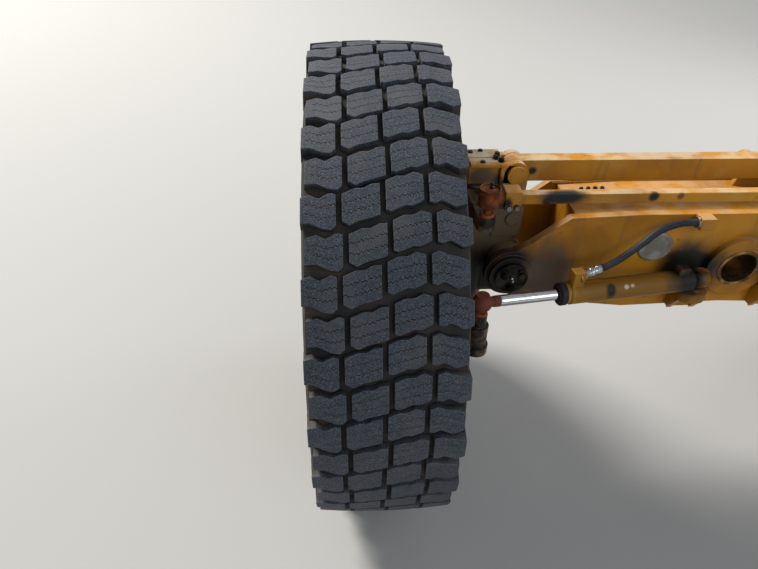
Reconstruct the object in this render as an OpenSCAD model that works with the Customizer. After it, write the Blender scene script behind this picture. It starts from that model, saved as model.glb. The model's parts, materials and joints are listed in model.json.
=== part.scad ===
// Front axle of a motor grader: arched beam, leaning yokes, steered spindles and both wheels.
// X to the right, Y forward, Z up. The origin is the centre of the beam's pivot bore.

/* [Wheels] */
// Distance between the two wheel centres
track = 2100; // [1950:10:2300]
// Height of the wheel centres below the pivot
wheel_drop = 115; // [100:5:150]
// Diameter over the tread
tyre_d = 1370; // [1300:10:1420]
// Width over the sidewalls
tyre_w = 375; // [340:5:400]
// Width over the tread blocks
tread_w = 339; // [300:1:350]
// Diameter of the bead seat
rim_d = 610; // [590:5:640]
// Width between the rim flanges
rim_w = 254; // [230:2:280]
// Thickness of the rim base
rim_t = 12; // [8:1:18]
// Thickness of the wheel disc
disc_t = 16; // [10:1:24]
// Number of wheel nuts
nuts = 12; // [8:1:16]

/* [Beam] */
// Half the width over the two webs
beam_y = 120; // [110:1:130]
// Thickness of a web plate
web_t = 25; // [18:1:30]
// Height of the beam's top above the pivot
beam_top = 172; // [160:1:180]
// Depth of the beam's underside below the pivot, at the middle
beam_low = 150; // [130:1:165]
// Thickness of the top, bottom and end plates
plate_t = 22; // [16:1:26]
// Distance from the middle to the start of the cut corner
corner_in = 520; // [500:5:535]
// Distance from the middle to the low end of the cut corner
corner_out = 620; // [610:1:630]
// Distance from the middle to where the beam's top starts to fall
top_flat = 310; // [200:10:400]
// Fall of the beam's top from there to the cut corner
top_fall = 9; // [9:1:16]
// Drop of the cut corner
corner_drop = 92; // [80:1:100]
// Radius of the pivot housing
hub_r = 96; // [85:1:110]
// Length of the pivot housing
hub_len = 280; // [265:5:282]
// Diameter of the pivot pin that fits the bushing
pivot_d = 100; // [80:1:110]
// Wall of the bushing
bush_t = 10; // [6:1:14]

/* [Wheel lean] */
// Distance from the middle to the lean pins
lean_x = 665; // [655:1:675]
// Depth of the lean pins below the pivot
lean_drop = 20; // [10:1:30]
// Diameter of a lean pin
lean_pin_d = 70; // [50:1:76]
// Radius of the beam's round nose
nose_r = 75; // [70:1:80]
// Rise of the lean bar's pins above the lean pins
bar_rise = 267; // [255:1:275]
// Height of the lean bar
bar_h = 62; // [50:1:66]
// Thickness of the lean bar
bar_t = 45; // [35:1:50]
// Diameter of the lean bar's pins
bar_pin_d = 40; // [30:1:44]
// Thickness of a yoke cheek
cheek_t = 22; // [16:1:24]

/* [Steering] */
// Distance from the middle to the king pins
king_x = 770; // [765:1:775]
// Diameter of a king pin
king_d = 60; // [45:1:66]
// Height of the yoke's king pin boss above the pivot
king_top = 125; // [120:1:128]
// Depth of the yoke's king pin boss below the pivot
king_low = 160; // [150:1:165]
// Radius of the yoke's king pin boss
king_r = 56; // [50:1:57]
// Thickness of the spindle's two arms
arm_t = 35; // [28:1:38]
// Distance back from the king pin to the tie rod's ball
tie_arm = 165; // [160:1:170]
// Distance back from the king pin to the steering ram's ball
ram_arm = 250; // [240:1:255]
// Width of the square tie rod
tie_w = 50; // [40:1:54]
// Diameter of a steering ram's barrel
ram_d = 64; // [54:1:68]
// Diameter of a steering ram's rod
rod_d = 32; // [26:1:36]
// Distance from the middle to the ram's anchor
anchor_x = 118; // [112:1:125]
// Distance back from the middle of the beam to the ram's anchor
anchor_y = 160; // [158:1:180]
// Length of a steering ram's barrel, from its anchor
barrel_len = 434; // [420:1:438]
// Radius of a ball joint's housing
ball_r = 28; // [26:1:29]

/* [Hidden] */
$fn = 96;

left = -1;
right = 1;
run = 0.05;            // radial play of a shaft in its bore
seat = 0.3;            // gap between faces that slide on each other
wheel_x = track / 2;
lean_z = -lean_drop;
bar_z = lean_z + bar_rise;
web_in = beam_y - web_t;
plate_end = corner_in - plate_t;
corner_z = beam_top - corner_drop;
bar_back = 0;          // the lean bar's rear face
bar_front = bar_back + bar_t;
cheek_half = 34;       // half the width of a yoke cheek
spindle_in = king_x + king_r + 6;
spindle_t = 48;        // thickness of the spindle's upright
spindle_half = 55;     // half the width of the upright
spindle_out = spindle_in + spindle_t;
arm_top = king_top + 5;
arm_low = king_low + 5;
steer_arm_z = arm_top + arm_t;
steer_arm_t = 40;
stud_drop = 38;        // from a ram's ball down to the post that holds its stud
tie_stud_drop = 52;    // from the tie rod's ball down to the steering arm
tie_z = steer_arm_z + steer_arm_t + tie_stud_drop;
ram_z = lean_z;
ball_flat = 22;        // from a ball's centre down to the flat under its housing
pin_ball_r = 17;       // ball on a stud, inside its housing
stud_r = 9;            // neck of a stud
shelf_t = 30;
stub_r = 48;
stub_end_r = 40;
stub_step = 150;       // length of the thick part of the stub axle
stub_len = 285;
hub_in = spindle_out + 18;
hub_out = spindle_out + stub_len + 12;
hub_wall_r = 92;
disc_x = wheel_x + 30;
flange_r = 165;
bead_r = rim_d / 2;
rim_half = rim_w / 2;
yellow = [0.90, 0.62, 0.20];
steel = [0.55, 0.55, 0.55];
chrome = [0.80, 0.80, 0.80];
rubber = [0.17, 0.18, 0.20];
rust = [0.55, 0.28, 0.15];

// Pieces are drawn on the right and mirrored for the left.
module on_side(s) {
    if (s > 0) children();
    else mirror([1, 0, 0]) children();
}

// A flat outline in X and Z, made a plate from y0 to y1.
module plate_xz(y0, y1) {
    translate([0, y1, 0]) rotate([90, 0, 0]) linear_extrude(y1 - y0) children();
}

// A flat outline in X and Y, made a plate from z0 to z1.
module plate_xy(z0, z1) {
    translate([0, 0, z0]) linear_extrude(z1 - z0) children();
}

// A round bar along Y, X or Z.
module bar_y(x, z, r, y0, y1) {
    translate([x, y1, z]) rotate([90, 0, 0]) cylinder(r = r, h = y1 - y0);
}
module bar_x(y, z, r, x0, x1) {
    translate([x0, y, z]) rotate([0, 90, 0]) cylinder(r = r, h = x1 - x0);
}
module bar_z(x, y, r, z0, z1) {
    translate([x, y, z0]) cylinder(r = r, h = z1 - z0);
}

// Two circles joined by their tangents.
module link_2d(p, rp, q, rq) {
    d = norm(q - p);
    a = atan2(q[1] - p[1], q[0] - p[0]);
    b = acos((rp - rq) / d);
    translate(p) circle(rp);
    translate(q) circle(rq);
    polygon([
        p + rp * [cos(a + b), sin(a + b)], p + rp * [cos(a - b), sin(a - b)],
        q + rq * [cos(a - b), sin(a - b)], q + rq * [cos(a + b), sin(a + b)]
    ]);
}

// A circle's points from angle a0 to a1, in n steps.
function arc(c, r, a0, a1, n) =
    [for (i = [0:n]) c + r * [cos(a0 + (a1 - a0) * i / n), sin(a0 + (a1 - a0) * i / n)]];

// Outline of a web: flat top, cut corners, round noses and an arched underside.
top_sunk = 8;          // from the webs' top edges down to the top plate
low_end = 560;         // where the underside starts to rise to the nose
low_mid = 300;         // where the arch of the underside ends
module web_2d() {
    half = [
        [0, beam_top], [top_flat, beam_top], [corner_in, beam_top - top_fall],
        [corner_out, corner_z],
        [lean_x, lean_z + nose_r], [lean_x, lean_z - nose_r],
        [low_end, -beam_low + 30], [low_mid, -beam_low], [0, -beam_low + 12]
    ];
    for (s = [left, right]) on_side(s) {
        polygon(half);
        translate([lean_x, lean_z]) circle(nose_r);
    }
}

module beam() color(yellow) difference() {
    union() {
        for (y = [-beam_y, web_in]) plate_xz(y, y + web_t) web_2d();
        for (s = [left, right]) on_side(s) plate_xz(-web_in, web_in) polygon([
            [-1, beam_top - top_sunk], [top_flat, beam_top - top_sunk],
            [plate_end, beam_top - top_sunk - top_fall], [plate_end, beam_top - top_sunk - top_fall - plate_t],
            [top_flat, beam_top - top_sunk - plate_t], [-1, beam_top - top_sunk - plate_t]
        ]);
        plate_xz(-web_in, web_in) intersection() {
            difference() {
                web_2d();
                translate([0, plate_t]) web_2d();
            }
            translate([-low_end, -beam_low - 1]) square([2 * low_end, beam_low]);
        }
        for (s = [left, right]) on_side(s) {
            translate([plate_end - plate_t, -web_in, -beam_low + 30])
                cube([plate_t, 2 * web_in, beam_top + beam_low - 60]);
            for (y = [-beam_y - 14, beam_y]) bar_y(lean_x, lean_z, 62, y, y + 14);
        }
        bar_y(0, 0, hub_r, -hub_len / 2, hub_len / 2);
    }
    bar_y(0, 0, pivot_d / 2 + bush_t, -hub_len, hub_len);
    for (s = [left, right]) on_side(s)
        bar_y(lean_x, lean_z, lean_pin_d / 2 + run, -beam_y - 20, beam_y + 20);
}

module pivot_bushing() color(steel) difference() {
    bar_y(0, 0, pivot_d / 2 + bush_t, -hub_len / 2 - 2, hub_len / 2 + 2);
    bar_y(0, 0, pivot_d / 2, -hub_len, hub_len);
}

module lean_pin(s) color(steel) on_side(s) {
    bar_y(lean_x, lean_z, lean_pin_d / 2, -beam_y - 26, beam_y + 26);
    bar_y(lean_x, lean_z, lean_pin_d / 2 + 12, -beam_y - 26, -beam_y - 14);
}

// Shelf behind the beam with the upright stud of a steering ram.
shelf_in = 32;         // from the stud to the shelf's inner edge
shelf_out = 52;        // from the stud to the shelf's outer edge
ball_seat = 10;        // from a ball's centre down to the flat that rests on its stud
module anchor(s) color(yellow) on_side(s) {
    z1 = ram_z - stud_drop;
    plate_xy(z1 - shelf_t, z1) {
        translate([anchor_x - shelf_in, -anchor_y]) square([shelf_in + shelf_out, anchor_y - beam_y]);
        link_2d([anchor_x, -anchor_y], shelf_in, [anchor_x + shelf_out - shelf_in, -anchor_y], shelf_in);
    }
    stud(anchor_x, -anchor_y, ram_z, stud_drop, ball_seat + seat);
    plate_xz(-beam_y - 20, -beam_y)
        translate([anchor_x - shelf_in, z1 - 80]) square([shelf_in + shelf_out, 78]);
    for (x = [anchor_x - shelf_in, anchor_x + shelf_out - 15])
        translate([x, -beam_y - 18, z1 - shelf_t]) rotate([0, 90, 0])
            linear_extrude(15) polygon([[-3, -3], [-3, -40], [55, -3]]);
}

// The ball on the anchor's stud turns with the ram.
module anchor_ball(s) color(steel) on_side(s) translate([anchor_x, -anchor_y, ram_z])
    rotate_extrude() intersection() {
        circle(pin_ball_r);
        translate([0, -ball_seat]) square(2 * pin_ball_r);
    }

// Bracket on the beam's top that holds the lean ram's eye between two lugs.
lean_ram_y = bar_front + cheek_t + 25;
lean_ram_x = 70;
lean_ram_z = beam_top + 43;
lug_t = 16;
lug_r = 32;
lug_foot = 48;         // half the width of a lug where it stands on the beam
eye_t = 40;
eye_r = 30;
eye_pin_r = 16;
module lean_bracket() color(yellow) {
    lug_gap = eye_t / 2 + seat;
    for (lug = [[lean_ram_y - lug_gap - lug_t, beam_top - top_sunk], [lean_ram_y + lug_gap, beam_top]])
        plate_xz(lug[0], lug[0] + lug_t) {
            translate([lean_ram_x, lean_ram_z]) circle(lug_r);
            polygon([
                [lean_ram_x - lug_foot, lug[1]], [lean_ram_x + lug_foot, lug[1]],
                [lean_ram_x + lug_r, lean_ram_z], [lean_ram_x - lug_r, lean_ram_z]
            ]);
        }
    bar_y(lean_ram_x, lean_ram_z, eye_pin_r, lean_ram_y - lug_gap - lug_t - 8,
        lean_ram_y + lug_gap + lug_t + 8);
}

// The yoke leans on the beam and holds the king pin and the end of the lean bar.
module yoke(s) color(yellow) on_side(s) difference() {
    union() {
        bar_y(lean_x, lean_z, 60, -web_in + seat, web_in - seat);
        bar_z(king_x, 0, king_r, -king_low, king_top);
        plate_xz(-42, 42) polygon([
            [lean_x - 52, lean_z - 30], [lean_x - 20, -king_low + 20], [king_x, -king_low + 20],
            [king_x, king_top - 15], [lean_x + cheek_half, king_top - 15], [lean_x - 40, lean_z + 45]
        ]);
        plate_xz(bar_back - seat - cheek_t, bar_front + seat + cheek_t)
            translate([lean_x - cheek_half, lean_z]) square([2 * cheek_half, bar_rise - 56]);
        for (y = [bar_back - seat - cheek_t, bar_front + seat])
            plate_xz(y, y + cheek_t)
                link_2d([lean_x, bar_z - 70], cheek_half, [lean_x, bar_z], cheek_half);
    }
    bar_y(lean_x, lean_z, lean_pin_d / 2 + run, -beam_y, beam_y);
    bar_y(lean_x, bar_z, bar_pin_d / 2 + run, -beam_y, beam_y);
    bar_z(king_x, 0, king_d / 2 + run, -king_low - 1, king_top + 1);
}

module king_pin(s) color(steel) on_side(s)
    bar_z(king_x, 0, king_d / 2, -arm_low - arm_t - 10, steer_arm_z - seat);

module bar_pin(s) color(steel) on_side(s) {
    back = bar_back - seat - cheek_t;
    bar_y(lean_x, bar_z, bar_pin_d / 2, back - 10, bar_front + seat + cheek_t);
    bar_y(lean_x, bar_z, bar_pin_d / 2 + 6, back - 10, back);
}

module lean_bar() color(yellow) plate_xz(bar_back, bar_front) difference() {
    union() {
        translate([-lean_x, bar_z - bar_h / 2]) square([2 * lean_x, bar_h]);
        for (s = [left, right]) translate([s * lean_x, bar_z]) circle(bar_h / 2 + 2);
    }
    for (s = [left, right]) translate([s * lean_x, bar_z]) circle(bar_pin_d / 2 + run);
}

// Stud and boot under a ball joint, with the ball's centre at x, y, z. The stud stands
// drop below it and its top stays a given distance under it. Where the joint is open the
// stud is short, so that the housing may drift over it.
module stud(x, y, z, drop, below) translate([x, y, z - drop]) {
    cylinder(r1 = 20, r2 = 17, h = 8);
    cylinder(r = stud_r, h = drop - below);
}
short_stud = ball_flat + 4.5;

// Ball joint housing with its neck towards the middle of the axle.
module ball_housing(neck_r, neck_len) {
    rotate_extrude() difference() {
        intersection() {
            circle(ball_r);
            translate([0, -ball_flat]) square([ball_r, 2 * ball_flat]);
        }
        circle(pin_ball_r + seat);
        translate([0, -ball_flat - 1]) square([pin_ball_r - 1, ball_flat]);
    }
    translate([0, 0, ball_flat]) cylinder(r = 18, h = 5);
    translate([-neck_len, 0, 0]) rotate([0, 90, 0]) cylinder(r = neck_r, h = neck_len - ball_r + 6);
}

// The spindle turns about the king pin and carries the wheel.
boss_r = 46;           // bosses of the spindle's two arms
post_r = 28;           // post under the steering ram's eye
post_tip_r = 20;       // its slim top, which clears the eye at full lock
post_tip_len = 40;
module spindle(s) color(yellow) on_side(s) difference() {
    low = -arm_low - arm_t;
    high = arm_top + arm_t;
    union() {
        plate_xz(-40, 40) polygon([
            [king_x, low], [spindle_out - 12, low], [spindle_out - 2, low + 40],
            [spindle_out - 2, high - 40], [spindle_out - 30, high], [king_x, high],
            [king_x, arm_top], [spindle_in + 4, arm_top], [spindle_in + 4, -arm_low],
            [king_x, -arm_low]
        ]);
        translate([spindle_in, -spindle_half, low + 14])
            cube([spindle_t, 2 * spindle_half, high - low - 40]);
        for (z = [low, arm_top]) bar_z(king_x, 0, boss_r, z, z + arm_t);
        bar_x(0, -wheel_drop, 80, spindle_out - 5, spindle_out + 14);
        bar_x(0, -wheel_drop, stub_r, spindle_out - 5, spindle_out + stub_step);
        bar_x(0, -wheel_drop, stub_end_r, spindle_out, spindle_out + stub_len);
        plate_xy(low + 4, -arm_low - 4) link_2d([spindle_in + 8, -20], 36, [king_x, -ram_arm], 34);
        bar_z(king_x, -ram_arm, post_r, low + 8, ram_z - stud_drop - post_tip_len);
        bar_z(king_x, -ram_arm, post_tip_r, low + 12, ram_z - stud_drop);
    }
    bar_z(king_x, 0, king_d / 2 + run, low - 1, high + 1);
}

arm_root_r = 34;       // slim enough to pass the yoke's cheek at full lock
arm_tip_r = 24;
module steer_arm(s) color(yellow) on_side(s)
    plate_xy(steer_arm_z, steer_arm_z + steer_arm_t)
        link_2d([king_x, 0], arm_root_r, [king_x, -tie_arm], arm_tip_r);

module ram_stud(s) color(rust) on_side(s)
    stud(king_x, -ram_arm, ram_z, stud_drop, short_stud);

module tie_stud(s) color(rust) on_side(s) {
    if (s == left) {
        stud(king_x, -tie_arm, tie_z, tie_stud_drop, 0);
        translate([king_x, -tie_arm, tie_z]) sphere(pin_ball_r);
    } else stud(king_x, -tie_arm, tie_z, tie_stud_drop, short_stud);
}

tie_end_len = 110;
module tie_end(s) color(rust) on_side(s)
    translate([king_x, -tie_arm, tie_z]) ball_housing(20, tie_end_len);

module tie_rod() color(yellow) difference() {
    half = king_x - tie_end_len + 30;
    translate([-half, -tie_arm - tie_w / 2, tie_z - tie_w / 2]) cube([2 * half, tie_w, tie_w]);
    bar_x(-tie_arm, tie_z, 20 + run, -half - 1, half + 1);
}

// Each steering ram runs from its anchor out and back to the spindle's post.
ram_len = norm([king_x - anchor_x, ram_arm - anchor_y]);
ram_turn = atan2(ram_arm - anchor_y, king_x - anchor_x);
gland_len = 25;
rod_tail = 220;        // from the anchor to the rod's inner end
module along_ram() translate([anchor_x, -anchor_y, ram_z]) rotate([0, 0, -ram_turn]) children();

module ram_barrel(s) color(yellow) on_side(s) along_ram() difference() {
    union() {
        mirror([1, 0, 0]) ball_housing(16, 44);
        bar_x(0, 0, ram_d / 2, 34, barrel_len - gland_len);
        bar_x(0, 0, ram_d / 2 - 3, barrel_len - gland_len - 1, barrel_len);
    }
    bar_x(0, 0, rod_d / 2 + run, 40, barrel_len + 1);
}

module ram_rod(s) color(chrome) on_side(s) along_ram() {
    translate([ram_len, 0, 0]) ball_housing(rod_d / 2 - 1, 60);
    bar_x(0, 0, rod_d / 2, rod_tail, ram_len - ball_r - 5);
}

// The lean ram pushes the right yoke's top. It slopes from its anchor to its rod's eye.
lean_ram_len = norm([lean_x - lean_ram_x, bar_z - lean_ram_z]);
lean_ram_slope = atan2(bar_z - lean_ram_z, lean_x - lean_ram_x);
lean_barrel_len = 380;
lean_ram_r = 34;
lean_rod_r = 18;
lean_neck = 52;        // from the eye to the barrel's closed end, clear of the lugs
lean_bore = 72;        // from the eye to the bottom of the bore
lean_rod_tail = 200;   // from the anchor to the rod's inner end
module along_lean_ram() {
    translate([lean_ram_x, lean_ram_y, lean_ram_z]) rotate([0, -lean_ram_slope, 0]) children();
}

module lean_barrel() color(yellow) along_lean_ram() difference() {
    union() {
        bar_y(0, 0, eye_r, -eye_t / 2, eye_t / 2);
        bar_x(0, 0, lean_rod_r, 20, lean_neck + 4);
        bar_x(0, 0, lean_ram_r, lean_neck, lean_barrel_len);
    }
    bar_y(0, 0, eye_pin_r + run, -eye_t, eye_t);
    bar_x(0, 0, lean_rod_r + run, lean_bore, lean_barrel_len + 1);
}

module lean_rod() color(chrome) along_lean_ram() {
    bar_x(0, 0, lean_rod_r, lean_rod_tail, lean_ram_len - 20);
    bar_y(lean_ram_len, 0, eye_r, -eye_t / 2 + 3, eye_t / 2);
    bar_y(lean_ram_len, 0, eye_r - 8, eye_t / 2, eye_t / 2 + 8);
}

module on_wheel(s) {
    on_side(s) translate([wheel_x, 0, -wheel_drop]) rotate([0, 90, 0]) children();
}

// Outline of a revolved piece on the wheel: first the radius, then the distance outboard.
module hub(s) color(yellow) on_wheel(s) rotate_extrude() polygon([
    [stub_r + run, hub_in - wheel_x], [hub_wall_r, hub_in - wheel_x],
    [hub_wall_r, disc_x - wheel_x - 40], [flange_r, disc_x - wheel_x - 30],
    [flange_r, disc_x - wheel_x], [hub_wall_r - 10, disc_x - wheel_x],
    [hub_wall_r - 14, hub_out - wheel_x - 10], [hub_wall_r - 24, hub_out - wheel_x],
    [0, hub_out - wheel_x], [0, hub_out - wheel_x - 10],
    [stub_end_r + run, hub_out - wheel_x - 10],
    [stub_end_r + run, spindle_out + stub_step + seat - wheel_x],
    [stub_r + run, spindle_out + stub_step + seat - wheel_x]
]);

module rim(s) color(yellow) on_wheel(s) difference() {
    rotate_extrude() polygon([
        [bead_r - rim_t, -rim_half - 14], [bead_r + 22, -rim_half - 14],
        [bead_r + 22, -rim_half], [bead_r, -rim_half], [bead_r - 4, rim_half],
        [bead_r - 4, rim_half + 10], [bead_r - rim_t, rim_half + 10],
        [bead_r - rim_t, disc_x - wheel_x + disc_t], [hub_wall_r - 6, disc_x - wheel_x + disc_t],
        [hub_wall_r - 6, disc_x - wheel_x + seat / 3], [bead_r - rim_t, disc_x - wheel_x + seat / 3]
    ]);
    for (i = [0:nuts - 1]) rotate(i * 360 / nuts) translate([135, 0, disc_x - wheel_x - 1])
        cylinder(r = 13, h = disc_t + 3);
    for (i = [0:5]) rotate(i * 60) translate([225, 0, disc_x - wheel_x - 1])
        cylinder(r = 32, h = disc_t + 3);
}

module lock_ring(s) color(yellow) on_wheel(s) rotate_extrude() polygon([
    [bead_r - 4 + run, rim_half], [bead_r + 22, rim_half], [bead_r + 22, rim_half + 14],
    [bead_r + 8, rim_half + 18], [bead_r - 4 + run, rim_half + 10]
]);

// Half outlines of the tyre from bead to tread, as radius and distance from its middle.
side_r = bead_r + 175;
side_bulge = 150;
tyre_wall = 20;
tread_t = 48;
tyre_out = concat(
    [[bead_r + 0.3, rim_half - 0.3], [bead_r + 26, rim_half - 0.3], [bead_r + 42, rim_half + 5]],
    arc([side_r, tyre_w / 2 - side_bulge], side_bulge, 130, 50, 8),
    [[tyre_d / 2 - 45, tread_w / 2], [tyre_d / 2 - 8, tread_w / 2], [tyre_d / 2, tread_w / 4]]
);
tyre_in = concat(
    [[bead_r + 0.3, rim_half - 45], [bead_r + 45, rim_half - 25]],
    arc([side_r, tyre_w / 2 - side_bulge], side_bulge - tyre_wall, 130, 50, 8),
    [[tyre_d / 2 - tread_t, tread_w / 2 - 40]]
);
function both_halves(half) =
    concat(half, [for (i = [len(half) - 1:-1:0]) [half[i][0], -half[i][1]]]);

module tyre(s) color(rubber) on_wheel(s) rotate_extrude() difference() {
    polygon(both_halves(tyre_out));
    polygon(concat([[bead_r - 10, rim_half - 45]], tyre_in,
        [for (i = [len(tyre_in) - 1:-1:0]) [tyre_in[i][0], -tyre_in[i][1]]],
        [[bead_r - 10, 45 - rim_half]]));
}

beam();
pivot_bushing();
lean_bracket();
lean_pin(left);  // lean_pin_left
lean_pin(right);  // lean_pin_right
anchor(left);  // anchor_left
anchor(right);  // anchor_right
yoke(left);  // yoke_left
yoke(right);  // yoke_right
king_pin(left);  // king_pin_left
king_pin(right);  // king_pin_right
bar_pin(left);  // bar_pin_left
bar_pin(right);  // bar_pin_right
lean_bar();
spindle(left);  // spindle_left
spindle(right);  // spindle_right
steer_arm(left);  // steer_arm_left
steer_arm(right);  // steer_arm_right
ram_stud(left);  // ram_stud_left
ram_stud(right);  // ram_stud_right
tie_stud(left);  // tie_stud_left
tie_stud(right);  // tie_stud_right
tie_rod();
tie_end(left);  // tie_end_left
tie_end(right);  // tie_end_right
anchor_ball(left);  // anchor_ball_left
anchor_ball(right);  // anchor_ball_right
ram_barrel(left);  // ram_barrel_left
ram_barrel(right);  // ram_barrel_right
ram_rod(left);  // ram_rod_left
ram_rod(right);  // ram_rod_right
lean_barrel();
lean_rod();
hub(left);  // hub_left
hub(right);  // hub_right
rim(left);  // rim_left
rim(right);  // rim_right
lock_ring(left);  // lock_ring_left
lock_ring(right);  // lock_ring_right
tyre(left);  // tyre_left
tyre(right);  // tyre_right
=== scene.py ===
# %% [markdown]
# # The front axle of a motor grader
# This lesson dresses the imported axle: an arched yellow beam, two yokes that lean, two
# spindles that steer, and a pair of big wheels with block tread. The CAD model fixes every
# size and place, so Blender adds only looks: tread, bolts, hoses, paint and dirt.

# %% Load the frame
import json
import math

import bmesh
import bpy
from mathutils import Matrix, Vector

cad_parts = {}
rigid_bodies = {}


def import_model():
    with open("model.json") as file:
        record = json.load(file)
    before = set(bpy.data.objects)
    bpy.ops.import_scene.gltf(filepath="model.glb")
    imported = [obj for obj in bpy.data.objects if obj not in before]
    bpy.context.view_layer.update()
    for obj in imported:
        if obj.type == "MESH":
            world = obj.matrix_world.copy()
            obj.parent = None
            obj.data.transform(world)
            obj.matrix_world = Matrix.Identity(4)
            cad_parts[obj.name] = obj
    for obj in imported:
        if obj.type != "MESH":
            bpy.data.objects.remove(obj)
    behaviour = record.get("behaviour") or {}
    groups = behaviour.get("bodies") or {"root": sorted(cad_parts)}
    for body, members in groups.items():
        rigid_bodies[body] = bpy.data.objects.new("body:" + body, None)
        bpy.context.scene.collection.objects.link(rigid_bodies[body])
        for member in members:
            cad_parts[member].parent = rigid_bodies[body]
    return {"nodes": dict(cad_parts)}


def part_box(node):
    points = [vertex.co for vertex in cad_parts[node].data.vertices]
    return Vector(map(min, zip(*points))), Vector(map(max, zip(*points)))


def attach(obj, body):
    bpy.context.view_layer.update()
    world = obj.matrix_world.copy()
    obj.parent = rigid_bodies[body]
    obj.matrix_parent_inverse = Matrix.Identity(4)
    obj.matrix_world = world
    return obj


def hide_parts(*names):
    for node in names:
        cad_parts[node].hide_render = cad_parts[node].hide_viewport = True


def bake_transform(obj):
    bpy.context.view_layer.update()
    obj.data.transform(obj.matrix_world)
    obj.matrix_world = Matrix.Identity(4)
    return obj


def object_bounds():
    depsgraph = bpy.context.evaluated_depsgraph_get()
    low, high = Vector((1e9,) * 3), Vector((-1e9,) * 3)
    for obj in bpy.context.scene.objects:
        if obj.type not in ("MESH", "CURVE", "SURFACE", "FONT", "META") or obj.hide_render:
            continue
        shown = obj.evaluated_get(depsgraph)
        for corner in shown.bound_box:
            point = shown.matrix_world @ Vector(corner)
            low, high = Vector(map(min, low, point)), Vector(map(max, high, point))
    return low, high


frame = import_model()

cad_box = [list(corner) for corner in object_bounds()]
nodes = frame["nodes"]
SIDES = {"left": -1, "right": 1}
print("nodes:", len(nodes), "box:", cad_box)

# %% [markdown]
# Places are read from the boxes of the CAD nodes, to a tenth of a millimetre, so that what
# is built on them follows the CAD model. They are given for the right side of the axle.

# %% Places on the axle
def middle(name):
    """The middle of a node's box."""
    low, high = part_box(name)
    return Vector([round(value, 4) for value in (low + high) / 2])


ROD = middle("tie_rod")
KING_X = middle("king_pin_right").x
LEAN_PIN = middle("lean_pin_right")
LEAN_X = LEAN_PIN.x
RAM_Z = middle("ram_barrel_right").z
RAM_ANCHOR = Vector((*middle("anchor_ball_right").xy, RAM_Z))
RAM_EYE = Vector((*middle("ram_stud_right").xy, RAM_Z))
LEAN_ANCHOR = Vector((*middle("lean_bracket").xy, 0.215))
LEAN_EYE = Vector((LEAN_X, LEAN_ANCHOR.y, middle("bar_pin_right").z))
TIE_BALL = Vector((KING_X, ROD.y, ROD.z))
TOP_PLATE = 0.164
SLOPE_START = 0.310
TOP_SLOPE = 0.009 / SLOPE_START
WEB_FACE = 0.120


def on_side(side, place):
    """A place of the right side, kept or mirrored."""
    return Vector((side * place[0], place[1], place[2]))


print("king pins:", round(2 * KING_X, 4), "apart, lean pins:", round(2 * LEAN_X, 4), "apart")

# %% [markdown]
# An operator works on everything that is selected, and the loaded nodes come in selected.
# So each step starts by deselecting all. In edit mode, faces and corners are picked in
# code by their place, where a person would click on them.

# %% Helpers for modelling
def deselect():
    if bpy.context.object and bpy.context.object.mode != "OBJECT":
        bpy.ops.object.mode_set(mode="OBJECT")
    bpy.ops.object.select_all(action="DESELECT")


def work_on(piece):
    deselect()
    piece.select_set(True)
    bpy.context.view_layer.objects.active = piece
    return piece


def pick(piece, kind, test):
    """Selects the corners, edges or faces of a piece that pass a test, in edit mode."""
    work_on(piece)
    bpy.ops.object.mode_set(mode="EDIT")
    bpy.ops.mesh.select_mode(type=kind)
    bpy.ops.mesh.select_all(action="DESELECT")
    shape = bmesh.from_edit_mesh(piece.data)
    items = {"VERT": shape.verts, "EDGE": shape.edges, "FACE": shape.faces}[kind]
    for item in items:
        item.select_set(bool(test(item)))
    shape.select_flush_mode()
    bmesh.update_edit_mesh(piece.data)


def settle(piece):
    """Puts the piece's place and turn into its mesh."""
    work_on(piece)
    bpy.ops.object.transform_apply(location=True, rotation=True, scale=True)
    return piece


def modify(piece, kind, **settings):
    """Adds a modifier, sets it and applies it."""
    work_on(piece)
    modifier = piece.modifiers.new(kind.lower(), kind)
    for name, value in settings.items():
        setattr(modifier, name, value)
    bpy.ops.object.modifier_apply(modifier=modifier.name)
    return piece


def join(pieces, name="joined"):
    work_on(pieces[0])
    for piece in pieces:
        piece.select_set(True)
    if len(pieces) > 1:
        bpy.ops.object.join()
    pieces[0].name = name
    pieces[0].data.name = name
    return pieces[0]


def smooth(piece, degrees):
    """Smooth shading, but for edges where faces meet at more than an angle."""
    work_on(piece)
    bpy.ops.object.shade_smooth_by_angle(angle=math.radians(degrees))
    return piece


def copy_of(piece, matrix=Matrix.Identity(4)):
    """A copy with its own mesh, moved by a matrix."""
    made = piece.copy()
    made.data = piece.data.copy()
    bpy.context.scene.collection.objects.link(made)
    made.data.transform(matrix)
    return made


def outward(piece, merge=1e-5):
    """Merges doubled corners and turns all faces outwards."""
    pick(piece, "FACE", lambda face: True)
    bpy.ops.mesh.remove_doubles(threshold=merge)
    bpy.ops.mesh.normals_make_consistent(inside=False)
    bpy.ops.object.mode_set(mode="OBJECT")
    return piece


# %% [markdown]
# ## Camera
# The photo was taken standing behind the left wheel, with a phone held at about 1.77 m and
# tilted down by 38 degrees. The lens follows from the photo's width in pixels: it is a
# 27 mm lens on a 36 mm sensor. The camera comes first.

# %% Camera
PHOTO_WIDTH = 758
FOCAL_PIXELS = 569.4
CAMERA_PLACE = (-1.115, -1.427, 0.970)
CAMERA_YAW = math.radians(3.06)
CAMERA_PITCH = math.radians(38.0)
CAMERA_ROLL = math.radians(0.87)

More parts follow.
